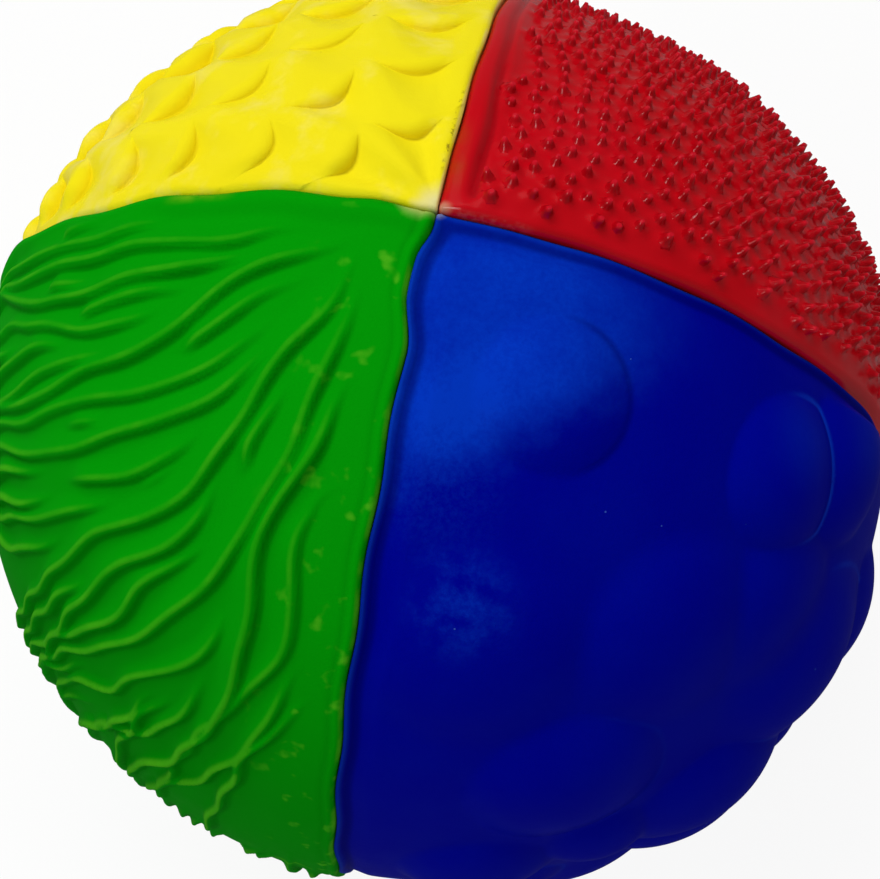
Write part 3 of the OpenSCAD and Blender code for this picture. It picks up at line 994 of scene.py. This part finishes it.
# Place of the bead behind the crest of a vein, its width, and the width of the line of painted shade at the
# steep foot
BEAD_AT_MM, BEAD_WIDTH_MM, FOOT_SHADE_WIDTH_MM = 0.3, 0.38, 0.35
VEIN_ROWS = (140, 270, 300)
# Level of the panel, and depth of the line along its blue edge
VEIN_LEVEL_MM = 0.2
VEIN_LINE_MM = 0.16
# Height of the lip along the yellow edge at the upper pole, and how much it gains on the way down
VEIN_LIP_MM, VEIN_LIP_GAIN_MM = 0.55, 0.5
# Distances of that lip and that line from their edges, and their widths
LIP_AT_MM, LIP_WIDTH_MM = 1.3, 2.2
LINE_AT_MM, LINE_WIDTH_MM = 1.1, 0.22
VEIN_EDGES_MM = (1.7, 0.7)
# Places of thin paint on the lip and at the pole: full within the first distance, gone past the second
THIN_ON_LIP = ((-21, 0.0, 45), 1.0, 4.5)
THIN_AT_POLE = ((-1.6, 0.3, 50), 0.8, 2.4)


def vein_curve(line, chance):
    """Latitudes from low to high along a vein, its longitudes there, and how far its low end fades."""
    points = sorted(((lat, lon) for lon, lat in line))
    fade = VEIN_END_FADE
    drift = RUN_ON_DRIFT * chance.uniform(0.6, 1.4)
    turn = 2 * math.pi * points[0][1] / VEIN_WIND_APART + chance.uniform(-0.7, 0.7)
    if points[0][0] < RUN_ON_FROM:
        run = points[0][0] - RUN_ON_TO
        points.insert(0, (RUN_ON_TO, points[0][1] - drift * run))
        fade = RUN_ON_FADE
    lat, lon = (np.array(c, float) for c in zip(*points))
    fine = np.linspace(lat[0], lat[-1], 400)
    # Smooth curve through the points: each stretch eases from slope to slope
    slope = np.gradient(lon, lat)
    k = np.clip(np.searchsorted(lat, fine) - 1, 0, len(lat) - 2)
    h = lat[k + 1] - lat[k]
    t = (fine - lat[k]) / h
    curve = ((1 + 2 * t) * (1 - t) ** 2 * lon[k] + t * (1 - t) ** 2 * h * slope[k]
             + t * t * (3 - 2 * t) * lon[k + 1] + t * t * (t - 1) * h * slope[k + 1])
    # Veins wind a little, and more so on their way to the equator
    wind = VEIN_WIND * (VEIN_WIND_LEAST + (1 - VEIN_WIND_LEAST) * ramp(fine, 36, 20) * ramp(fine, 4, 24))
    wind = wind / np.cos(np.radians(fine))
    return fine, curve + wind * np.sin(turn + 2 * math.pi * fine / VEIN_WIND_LENGTH), fade


def vein_relief(looks, sizes):
    """Rule for the relief of the veined panel, whose lower half is the upper one turned over."""
    chance = np.random.default_rng(sizes.seed + 11)
    ball_r = sizes.ball_r / MM
    height, bead, slope, drop = looks.height / MM, looks.bead / MM, looks.slope / MM, looks.drop / MM
    veins = [(*vein_curve(line, chance), chance.uniform(0.8, 1.15)) for line in VEINS]

    def half(lon, lat, side):
        """Height of the veins of one half, and their tone. Each falls steeply towards growing longitudes."""
        up, crest, foot = np.zeros_like(lon), np.zeros_like(lon), np.zeros_like(lon)
        ring = ball_r * np.cos(np.radians(lat)) * math.pi / 180
        for fine, curve, fade, strength in veins:
            if lat[0] < fine[0] or lat[0] > fine[-1]:
                continue
            lean = np.interp(lat, fine, np.gradient(curve, fine)) * np.cos(np.radians(lat))
            d = side * (lon - np.interp(lat, fine, curve)) * ring / np.sqrt(1 + lean * lean)
            here = strength * smooth((lat - fine[0]) / fade) * smooth((fine[-1] - lat) / VEIN_START_FADE)
            spread = ramp(lat, *VEIN_SPREAD)
            reach = slope * (VEIN_SHORT + (1 - VEIN_SHORT) * spread) * (VEIN_FADED + (1 - VEIN_FADED) * here)
            body = np.where(d < 0, 1 - smooth(-d / reach), 1 - smooth(d / drop))
            ridge = bell(d + BEAD_AT_MM, BEAD_WIDTH_MM) * (1 - smooth(d / drop))
            up = np.maximum(up, here * (height * body + bead * ridge))
            # Crest marks where the finish lightens the crest of a vein, foot where it paints a line of shade
            crest = np.maximum(crest, here * ridge)
            foot = np.maximum(foot, here * bell(d - 0.9 * drop, FOOT_SHADE_WIDTH_MM))
        return up, crest, foot

    def relief(lon, lat):
        near, far = from_edges(lon, lat)
        up, crest, foot = (np.maximum(a, b) for a, b in zip(half(lon, lat, 1), half(QUARTER - lon, -lat, -1)))
        field = smooth((np.minimum(near - LIP_AT_MM, far - 2.0)) / 1.4)
        lip = VEIN_LIP_MM + VEIN_LIP_GAIN_MM * ramp(lat, 60, 30)
        lip = lip * smooth(1 - np.abs(near - LIP_AT_MM) / LIP_WIDTH_MM)
        line = VEIN_LINE_MM * bell(far - LINE_AT_MM, LINE_WIDTH_MM)
        rise = VEIN_LEVEL_MM + up * field + lip - line
        rise = rise - rounded(near, VEIN_EDGES_MM[0]) - rounded(far, VEIN_EDGES_MM[1])
        return rise, np.clip(crest - foot, -1, 1) * field

    return relief


def green_finish(looks):
    f = Finish("green_paint")
    tone = f.own("tone")
    # Painted shade: dark green in a line at the steep foot of each vein
    paint = f.mix(looks.paint, looks.painted_shade, (0 - tone).ease(0.1, 0.9) * 0.75)
    worn = f.cloud(6, 4.0, 0.6).ease(0.4, 0.7)
    # Painted shade: darker towards the bottom of the panel
    low = 1 - f.z.ease_mm(14, 38)
    paint = f.mix(paint, looks.painted_shade, low * f.y.ease_mm(-12, -30) * 0.5)
    # Lighter crests: partly worn paint, partly a painted highlight, stronger towards the bottom
    paint = f.mix(paint, looks.scuff_and_highlight_paint, tone.ease(0.2, 0.9) * (0.1 + 0.2 * worn + 0.35 * low))
    # The paint is thin in patches on the border along the blue edge, and rubber shows at the pole
    side = 0 - f.x
    margin = (1 - side.ease_mm(3, 11)) * f.cloud(2.4, 2.0).ease(0.6, 0.74)
    paint = f.mix(paint, looks.scuff_and_highlight_paint, margin * 0.6)
    thin = f.near(*THIN_ON_LIP) * f.cloud(4, 3.0, 0.6).ease(0.35, 0.6)
    paint = f.mix(paint, looks.thin_paint, thin * f.y.ease_mm(-1.6, -0.6) * 0.5)
    pole = f.near(*THIN_AT_POLE)
    paint = f.mix(paint, looks.pole_paint, pole * 0.7)
    rim = (1 - f.own("edge").ease(0.1, 0.5)) * (1 - side.ease_mm(2, 4))
    paint = f.mix(paint, looks.scuff_and_highlight_paint, rim * f.cloud(5).ease(0.42, 0.6) * 0.6)
    dust = f.specks(4, 0.2, 0.16)
    paint = f.mix(paint, looks.dust_paint, dust * 0.8)
    height = f.grain(0.8, 0.22)
    return f.wear(Base_Color=paint, Roughness=0.48 + 0.1 * worn, Normal=f.bump(height, 0.03),
                  Specular_IOR_Level=0.003)


class SENSORY_OT_green_veins(bpy.types.Operator):
    """Make the green panel with its veins"""
    bl_idname = "sensory.green_veins"
    bl_label = "Green veins"

    def execute(self, context):
        looks, sizes = settings().veins, settings().sizes
        piece = raise_panel("green_veins", even_rows(*VEIN_ROWS, vein_relief(looks, sizes)), GREEN_AT,
                            green_finish(looks), sizes.grain, sizes.grain_size)
        seat(piece, "green_vein_panel")
        return {"FINISHED"}


# Blue bubbles


# Bubbles of the upper half of their panel, each blended with those before it: longitude, latitude and half
# angle, height and fall to the rim in millimetres, softness of the crease round it in millimetres, and the
# tone painted on that crease, below 0 a painted shade and above 0 a painted sheen
BUBBLES = (
    (32, 58, 34, 0.15, 1.2, 1.0, 0),
    (43, 68, 9.4, 1.5, 2.2, 0.15, -0.7),
    (18, 46, 10.5, 1.3, 1.3, 0.5, 0),
    (44, 40, 10.5, 1.4, 1.5, 0.4, 0),
    (27, 25, 10.5, 1.6, 2.0, 0.3, 0.3),
    (58, 33, 10, 1.2, 1.8, 0.4, 0),
    (60, 17, 12, 2.0, 2.4, 1.3, 0.6),
    (45, 6, 11, 2.4, 2.6, 0.2, 0.4),
    (16, 6, 9, 1.6, 2.2, 0.3, 0),
    (31, 8, 7, 1.2, 1.8, 0.3, 0),
    (71, 8, 10, 1.3, 2.2, 0.2, 0.4),
    (80, 33, 9.5, 1.8, 2.4, 0.2, 0.3),
    (71, 43, 9.8, 1.8, 2.6, 0.1, 0.9),
)
BUBBLE_ROWS = (150, 240, 230)
# Height over which the tone of a crease fades
CREASE_FADE_MM = 0.2
# Distance from an edge and width of the painted shade in the groove there
GROOVE_AT_MM, GROOVE_WIDTH_MM = 0.95, 0.55
BUBBLE_EDGES_MM = (0.3, 0.5)
# Side of the bubbles on which the painted shade and sheen of their creases show, and way across the end of
# the bloom and painted light
CREASE_SIDE = (-0.21, 0.98, 0.0)
LIGHT_AND_BLOOM_ACROSS = (0.57, -0.71, -0.41)
# Places of the bloom and painted light: full within the first distance, gone past the second
LIGHT_AND_BLOOM_TOP = ((6, -12, 48), 8, 22)
HIGHLIGHT_AND_BLOOM_BRIGHT = ((4.5, -16.5, 47), 0.5, 7)
LIGHT_AND_BLOOM_TRAIL = ((5, -23, 44.5), 1, 8)
HIGHLIGHT_AND_BLOOM_PATCH = ((8.5, -30.5, 39), 0.5, 6.5)
HIGHLIGHT_AND_BLOOM_CROWNS = (((36, -8.5, 36.5), 0.5, 6), ((43, -4, 28), 0.5, 6))


def blend(a, b, soft):
    """The higher of two levels, with a rounded crease where they meet."""
    h = np.clip(1 - np.abs(a - b) / soft, 0, 1)
    return np.maximum(a, b) + h * h * soft / 4


def bubble_relief(looks):
    """Rule for the relief of the panel with bubbles, whose lower half is the upper one turned over."""
    floor, groove = looks.floor / MM, looks.groove / MM
    places = [*BUBBLES, *((QUARTER - b[0], -b[1], *b[2:]) for b in BUBBLES)]

    def relief(lon, lat):
        near, far = from_edges(lon, lat)
        way = on_ball(lon, lat, 1.0)
        field = np.full_like(lon, -floor)
        tone = np.zeros_like(lon)
        for at_lon, at_lat, half, high, fall, soft, shade in places:
            middle = on_ball(np.array(float(at_lon)), np.array(float(at_lat)), 1.0)
            away = np.degrees(np.arccos(np.clip(way @ middle, -1, 1)))
            bubble = high - fall * (away / half) ** 2
            side = (way - middle) @ np.array(CREASE_SIDE) / math.sin(math.radians(half))
            crease = bell(field - bubble, CREASE_FADE_MM)
            crease = crease * (0.15 + 0.85 * smooth((side + 0.1) / 0.6))
            # A bubble covers the creases of those under it
            tone = tone * (1 - smooth((bubble - field) / CREASE_FADE_MM)) + shade * crease
            field = blend(field, bubble, soft)
        # Distance from both edges with a rounded corner at the pole
        edge = (np.maximum(near, 0.001) ** -3 + np.maximum(far, 0.001) ** -3) ** (-1 / 3)
        part = smooth((edge - 0.8) / 2.4)
        lip = (1 - smooth(edge / 0.7)) * (1 - 0.6 * smooth((near - far) / 3 + 0.5))
        rise = field * part - groove * (1 - lip) * (1 - part)
        rise = rise - rounded(near, BUBBLE_EDGES_MM[0]) - rounded(far, BUBBLE_EDGES_MM[1])
        # The tone carries the painted shade and sheen of the creases, and the painted shade in the groove
        # along both edges
        return rise, tone * part - bell(edge - GROOVE_AT_MM, GROOVE_WIDTH_MM)

    return relief


def blue_finish(looks):
    f = Finish("blue_paint")
    clouds = f.cloud(9, 4.0, 0.6).ease(0.28, 0.72)
    powder = f.cloud(0.5, 4.0, 0.75).ease(0.3, 0.7)
    # Painted light with a powdery bloom: the lighter paint ends along a slant over the first bubble, where
    # its lit side turns into shade, and lies on in patches on the lit tops of the bubbles below it
    across = f.along(LIGHT_AND_BLOOM_ACROSS) + (f.cloud(6, 4.0, 0.7) - 0.5) * 7 * MM
    upper = (1 - across.ease_mm(-3.5, 2.5)) * f.near(*LIGHT_AND_BLOOM_TOP)
    bright = f.near(*HIGHLIGHT_AND_BLOOM_BRIGHT)
    trail = f.near(*LIGHT_AND_BLOOM_TRAIL)
    patch = f.near(*HIGHLIGHT_AND_BLOOM_PATCH) * f.cloud(3, 4.0, 0.65).ease(0.38, 0.62)
    first, second = (f.near(*spot) for spot in HIGHLIGHT_AND_BLOOM_CROWNS)
    crown = first + second
    bloom = upper * (0.45 + 0.4 * clouds) + bright * 0.35 + trail * 0.16 * powder
    bloom = bloom + patch * (0.2 + 0.25 * powder) + crown * 0.14 + clouds * 0.04
    paint = f.mix(looks.paint, looks.bloom_and_highlight_paint, bloom * (0.85 + 0.3 * powder))
    # Painted shade in the groove and the first crease, and a painted sheen along the creases further down
    tone = f.own("tone")
    paint = f.mix(paint, looks.bloom_and_highlight_paint, tone.ease(0.1, 0.9) * f.cloud(5).ease(0.25, 0.55) * 0.75)
    paint = f.mix(paint, looks.crease_shade_paint, (0 - tone).ease(0.1, 1.0) * 0.6)
    rim = 1 - f.own("edge").ease(0.1, 0.6)
    paint = f.mix(paint, looks.rim_paint, rim * 0.4)
    paint = f.mix(paint, looks.pole_paint, f.near(POLE, 0.2, 1.1) * 0.5)
    dust = f.specks(2.6, 0.18, 0.22)
    paint = f.mix(paint, looks.dust_paint, dust * 0.6)
    height = f.cloud(0.9) * 0.6 + powder * 0.4
    return f.wear(Base_Color=paint, Roughness=0.46 - 0.1 * clouds, Normal=f.bump(height, 0.025),
                  Specular_IOR_Level=0.004)


class SENSORY_OT_blue_bubbles(bpy.types.Operator):
    """Make the blue panel with its bubbles"""
    bl_idname = "sensory.blue_bubbles"
    bl_label = "Blue bubbles"

    def execute(self, context):
        looks, sizes = settings().bubbles, settings().sizes
        piece = raise_panel("blue_bubbles", even_rows(*BUBBLE_ROWS, bubble_relief(looks)), BLUE_AT,
                            blue_finish(looks), sizes.grain, sizes.grain_size)
        seat(piece, "blue_bubble_panel")
        return {"FINISHED"}


# Inside


def rubber_finish(name, base, stain, specks):
    f = Finish(name)
    clouds = f.cloud(16, 4.0, 0.6).ease(0.35, 0.7)
    paint = f.mix(base, stain, clouds * 0.8)
    dust = f.specks(3, 0.25, 0.2)
    paint = f.mix(paint, specks, dust * 0.5)
    height = f.grain(1.2, 0.3)
    return f.wear(Base_Color=paint, Roughness=0.6 + 0.15 * clouds, Normal=f.bump(height, 0.05),
                  Specular_IOR_Level=0.3)


class SENSORY_OT_inside(bpy.types.Operator):
    """Give the carcass and the vent plug their bare rubber"""
    bl_idname = "sensory.inside"
    bl_label = "Carcass and plug"

    def execute(self, context):
        looks = settings().inside
        bare = rubber_finish("bare_rubber", looks.rubber, looks.stain, looks.dust)
        dark = rubber_finish("plug_rubber", looks.plug, tuple(0.6 * c for c in looks.plug), looks.dust)
        for node, finish in (("carcass_upper_half", bare), ("carcass_lower_half", bare), ("vent_plug", dark)):
            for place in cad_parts[node].material_slots:
                place.material = finish
        return {"FINISHED"}


# Stage


# Size of the photo, and place of the middle of the ball in it, in pixels
IMAGE_W, IMAGE_H = 880, 879
BALL_AT = (438.8, 433.4)
SENSOR_W = 36.0
# Half the side of the floor in metres, shade of its clouds, and share of it that is plain white to the eye
FLOOR_HALF = 3.0
FLOOR_CLOUDS = 0.985
FLOOR_GLOW = 0.9
# Lamps: name, way to them in the camera's right, up and back, distance and size in metres
KEY = ("key", (-0.25, 0.7, 0.67), 0.75, 0.5)
SPARK = ("spark", (-0.45, -0.15, 0.88), 0.5, 0.12)
# Rise of a sight line up to which it still meets the backdrop, and from which it meets the room. A gloss sees
# both of them dimly
BACKDROP_TOP = (0.1, 0.5)
BACKDROP_GLOW = 0.12
ROOM_GLOW = 0.025


def view_axes(stage):
    """Right, up and back of the camera."""
    a, e, r = stage.azimuth, stage.elevation, stage.roll
    back = Vector((math.sin(a) * math.cos(e), -math.cos(a) * math.cos(e), math.sin(e)))
    right = Vector((math.cos(a), math.sin(a), 0.0))
    up = back.cross(right)
    return right * math.cos(r) - up * math.sin(r), right * math.sin(r) + up * math.cos(r), back


def sight(bench):
    """1 for what the camera sees, and 1 for what a gloss or a glass sees."""
    path = bench.tree.nodes.new("ShaderNodeLightPath")
    camera, glossy, through = (Value(bench, path.outputs[name]) for name in
                               ("Is Camera Ray", "Is Glossy Ray", "Is Transmission Ray"))
    return camera, glossy.most(through)


def floor_finish(stage):
    f = Finish("pale_floor")
    grain = f.cloud(60)
    paint = f.mix(stage.floor, tuple(FLOOR_CLOUDS * c for c in stage.floor), grain)
    f.wear(Base_Color=paint, Roughness=0.8, Specular_IOR_Level=0.1)
    camera, mirrored = sight(f)
    light = f.mix((BACKDROP_GLOW,) * 3, WHITE, camera)
    glow = f.node("ShaderNodeEmission", None, {"Color": light, "Strength": 1.0})
    seen = camera.most(mirrored) * FLOOR_GLOW
    both = f.node("ShaderNodeMixShader", None, {0: seen, 1: Value(f, f.shader.outputs[0]), 2: glow})
    f.feed(f.tree.nodes["Material Output"].inputs["Surface"], both)
    return f.material


def studio_world(stage):
    """Even fill light. A gloss mirrors the backdrop as far up as it reaches, and a darker room above."""
    world = bpy.data.worlds.new("studio")
    world.use_nodes = True
    bench = Bench(world.node_tree)
    way = bench.node("ShaderNodeTexCoord", out="Generated")
    backdrop = 1 - bench.split(way)[2].ease(*BACKDROP_TOP)
    camera, mirrored = sight(bench)
    light = world.node_tree.nodes["Background"]
    light.inputs["Color"].default_value = colour(WHITE)
    seen = camera.most(mirrored * (backdrop * (BACKDROP_GLOW - ROOM_GLOW) + ROOM_GLOW))
    bench.feed(light.inputs["Strength"], seen + (1 - camera.most(mirrored)) * stage.fill)
    return world


class SENSORY_OT_stage(bpy.types.Operator):
    """Set the floor, the lamps and the camera"""
    bl_idname = "sensory.stage"
    bl_label = "Stage"

    def execute(self, context):
        stage = settings().stage
        scene = context.scene
        right, up, back = view_axes(stage)
        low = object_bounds()[0][2]
        mesh = bpy.data.meshes.new("floor")
        h = FLOOR_HALF
        mesh.from_pydata([(-h, -h, low), (h, -h, low), (h, h, low), (-h, h, low)], [], [(0, 1, 2, 3)])
        mesh.materials.append(floor_finish(stage))
        new_piece("floor", mesh)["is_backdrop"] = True
        scene.world = studio_world(stage)

        for (name, way, away, size), power in ((KEY, stage.key_power), (SPARK, stage.spark_power)):
            light = bpy.data.lights.new(name, "AREA")
            light.energy = power
            light.size = size
            lamp = bpy.data.objects.new(name, light)
            towards = (right * way[0] + up * way[1] + back * way[2]).normalized()
            lamp.location = towards * away
            lamp.rotation_euler = towards.to_track_quat("Z", "Y").to_euler()
            lamp.visible_glossy = name == "spark"
            scene.collection.objects.link(lamp)

        camera = bpy.data.cameras.new("camera")
        camera.sensor_width = SENSOR_W
        camera.lens = stage.lens
        camera.shift_x = (IMAGE_W / 2 - BALL_AT[0]) / IMAGE_W
        camera.shift_y = (BALL_AT[1] - IMAGE_H / 2) / IMAGE_W
        eye = bpy.data.objects.new("camera", camera)
        turn = Matrix((right, up, back)).transposed()
        eye.matrix_world = Matrix.Translation(back * stage.distance) @ turn.to_4x4()
        scene.collection.objects.link(eye)
        scene.camera = eye
        scene.view_settings.view_transform = "Standard"
        return {"FINISHED"}


class SENSORY_PT_ball(bpy.types.Panel):
    """Panel that lists the pieces of the ball and their settings"""
    bl_label = "Sensory ball"
    bl_idname = "SENSORY_PT_ball"
    bl_space_type = "VIEW_3D"
    bl_region_type = "UI"
    bl_category = "Sensory ball"

    def draw(self, context):
        ball = context.scene.sensory_ball
        for group, operator in PARTS:
            box = self.layout.box()
            if operator is not None:
                box.operator(operator.bl_idname)
            looks = getattr(ball, group)
            for name in looks.__annotations__:
                box.prop(looks, name)


PARTS = (("sizes", None), ("scales", SENSORY_OT_yellow_scales), ("spikes", SENSORY_OT_red_spikes),
         ("veins", SENSORY_OT_green_veins), ("bubbles", SENSORY_OT_blue_bubbles),
         ("inside", SENSORY_OT_inside), ("stage", SENSORY_OT_stage))
CLASSES = (BallSizes, ScaleLooks, SpikeLooks, VeinLooks, BubbleLooks, InsideLooks, StageLooks, BallSettings,
           SENSORY_OT_yellow_scales, SENSORY_OT_red_spikes, SENSORY_OT_green_veins, SENSORY_OT_blue_bubbles,
           SENSORY_OT_inside, SENSORY_OT_stage, SENSORY_PT_ball)


def register():
    for kind in CLASSES:
        bpy.utils.register_class(kind)
    bpy.types.Scene.sensory_ball = PointerProperty(type=BallSettings)


def unregister():
    del bpy.types.Scene.sensory_ball
    for kind in reversed(CLASSES):
        bpy.utils.unregister_class(kind)


def main():
    register()
    bpy.ops.sensory.yellow_scales()
    bpy.ops.sensory.red_spikes()
    bpy.ops.sensory.green_veins()
    bpy.ops.sensory.blue_bubbles()
    bpy.ops.sensory.inside()
    bpy.ops.sensory.stage()


if __name__ == "__main__":
    main()
